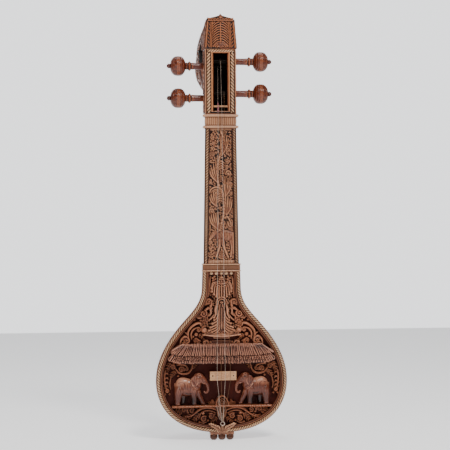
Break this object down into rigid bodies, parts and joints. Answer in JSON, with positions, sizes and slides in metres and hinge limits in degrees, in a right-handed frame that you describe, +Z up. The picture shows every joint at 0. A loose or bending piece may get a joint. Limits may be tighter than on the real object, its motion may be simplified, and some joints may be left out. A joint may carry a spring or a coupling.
{
  "type": "carved long-necked lute",
  "caption": "Plucked long-necked lute with a carved pear-shaped body, roped rim, carved neck, open pegbox, turned pegs and a scroll that curls back.",
  "frame": {"origin": "centre of the flat underside of the middle foot knob, at the bottom of the body", "axes": "+Z up the neck to the scroll, -Y out of the carved front, X across with the peg axes along it"},
  "size_m": [0.342, 0.2069, 1.106],
  "materials": {
    "carved_wood": "satin",
    "dark_wood": "satin",
    "light_wood": "satin",
    "turned_wood": "gloss",
    "polished_carving": "gloss",
    "bone": "satin",
    "dark_pins": "satin",
    "steel_string": "bright",
    "bronze_string": "bright"
  },
  "bodies": {
    "instrument": {"bead_row": "light_wood", "bowl_shell": "carved_wood", "bridge_base": "carved_wood", "bridge_pins": "dark_pins", "bridge_plate": "bone", "cornice": "carved_wood", "eave_bracket_left": "carved_wood", "eave_bracket_right": "carved_wood", "elephant_ledge": "carved_wood", "elephant_left": "polished_carving", "elephant_right": "polished_carving", "end_block": "dark_wood", "foot_block": "carved_wood", "foot_knobs": "carved_wood", "head_crown": "carved_wood", "head_leaf_panel": "carved_wood", "head_tenon": "dark_wood", "lower_collar": "light_wood", "lower_scrolls_left": "carved_wood", "lower_scrolls_right": "carved_wood", "neck_board": "dark_wood", "neck_carving": "carved_wood", "neck_frame": "light_wood", "neck_shell": "carved_wood", "neck_tenon": "dark_wood", "nut": "bone", "palmette": "carved_wood", "pegbox": "dark_wood", "pegbox_frame": "light_wood", "rim_frame": "carved_wood", "roof_eave": "carved_wood", "rope_border": "light_wood", "rosette_left": "carved_wood", "rosette_right": "carved_wood", "scroll_head": "carved_wood", "shoulder_scrolls_left": "carved_wood", "shoulder_scrolls_right": "carved_wood", "shrine_arch": "carved_wood", "soundboard": "dark_wood", "soundboard_braces": "dark_wood", "string_1": "steel_string", "string_2": "bronze_string", "string_3": "steel_string", "string_4": "bronze_string", "tail_leaf": "light_wood", "tail_loop": "steel_string", "upper_collar": "light_wood"},
    "tuner_upper_left": {"peg_upper_left": "turned_wood", "winding_upper_left": "steel_string"},
    "tuner_upper_right": {"peg_upper_right": "turned_wood", "winding_upper_right": "steel_string"},
    "tuner_lower_left": {"peg_lower_left": "turned_wood", "winding_lower_left": "bronze_string"},
    "tuner_lower_right": {"peg_lower_right": "turned_wood", "winding_lower_right": "bronze_string"}
  },
  "joints": [
    {"name": "turn_upper_left", "type": "hinge", "parent": "instrument", "child": "tuner_upper_left", "pos_m": [-0.0405, 0.0335, 0.9735], "axis": [-1, 0, 0], "continuous": true},
    {"name": "turn_upper_right", "type": "hinge", "parent": "instrument", "child": "tuner_upper_right", "pos_m": [0.0405, 0.0155, 0.984], "axis": [1, 0, 0], "continuous": true},
    {"name": "turn_lower_left", "type": "hinge", "parent": "instrument", "child": "tuner_lower_left", "pos_m": [-0.0405, 0.0335, 0.8895], "axis": [-1, 0, 0], "continuous": true},
    {"name": "turn_lower_right", "type": "hinge", "parent": "instrument", "child": "tuner_lower_right", "pos_m": [0.0405, 0.0155, 0.9], "axis": [1, 0, 0], "continuous": true}
  ]
}
